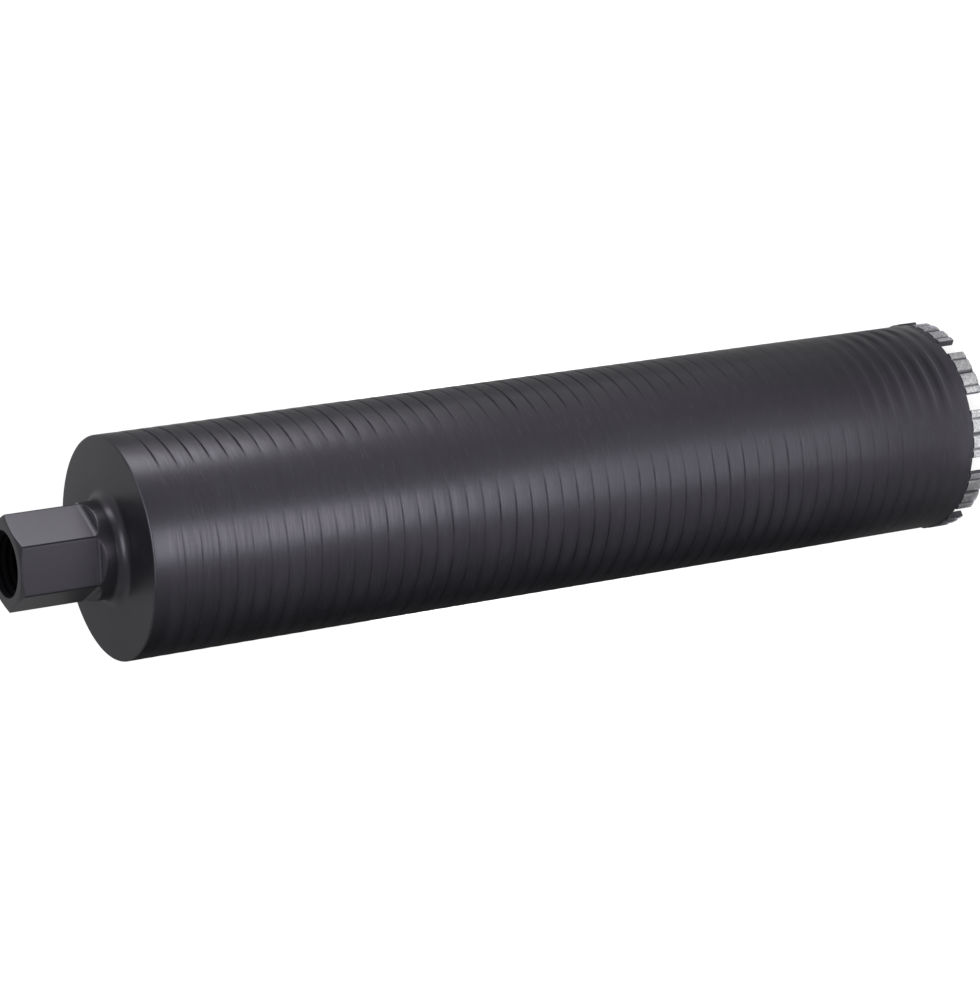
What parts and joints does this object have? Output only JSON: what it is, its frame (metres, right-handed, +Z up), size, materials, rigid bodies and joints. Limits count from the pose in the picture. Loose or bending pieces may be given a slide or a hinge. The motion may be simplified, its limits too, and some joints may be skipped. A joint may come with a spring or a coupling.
{
  "type": "diamond core bit",
  "caption": "Wet core bit: a long steel barrel with ribbed cutting segments round its open end and a threaded hexagonal hub at the other.",
  "frame": {"origin": "centre of the crown's cutting plane, on the bit's axis", "axes": "+Z up the bit's axis from the crown to the hub's threaded end; +X through the middle of one of the hub's wrench flats"},
  "size_m": [0.1094, 0.1094, 0.527],
  "materials": {
    "barrel_paint": "satin black paint over a steel tube with spiral rolling marks",
    "hub_paint": "satin black paint over turned and milled steel",
    "sintered_metal": "bare sintered metal with diamond grit, dull and slightly rough"
  },
  "bodies": {
    "root": {"barrel": "barrel_paint", "hub": "hub_paint", "segment_01": "sintered_metal", "segment_02": "sintered_metal", "segment_03": "sintered_metal", "segment_04": "sintered_metal", "segment_05": "sintered_metal", "segment_06": "sintered_metal", "segment_07": "sintered_metal", "segment_08": "sintered_metal", "segment_09": "sintered_metal", "segment_10": "sintered_metal"}
  },
  "joints": []
}
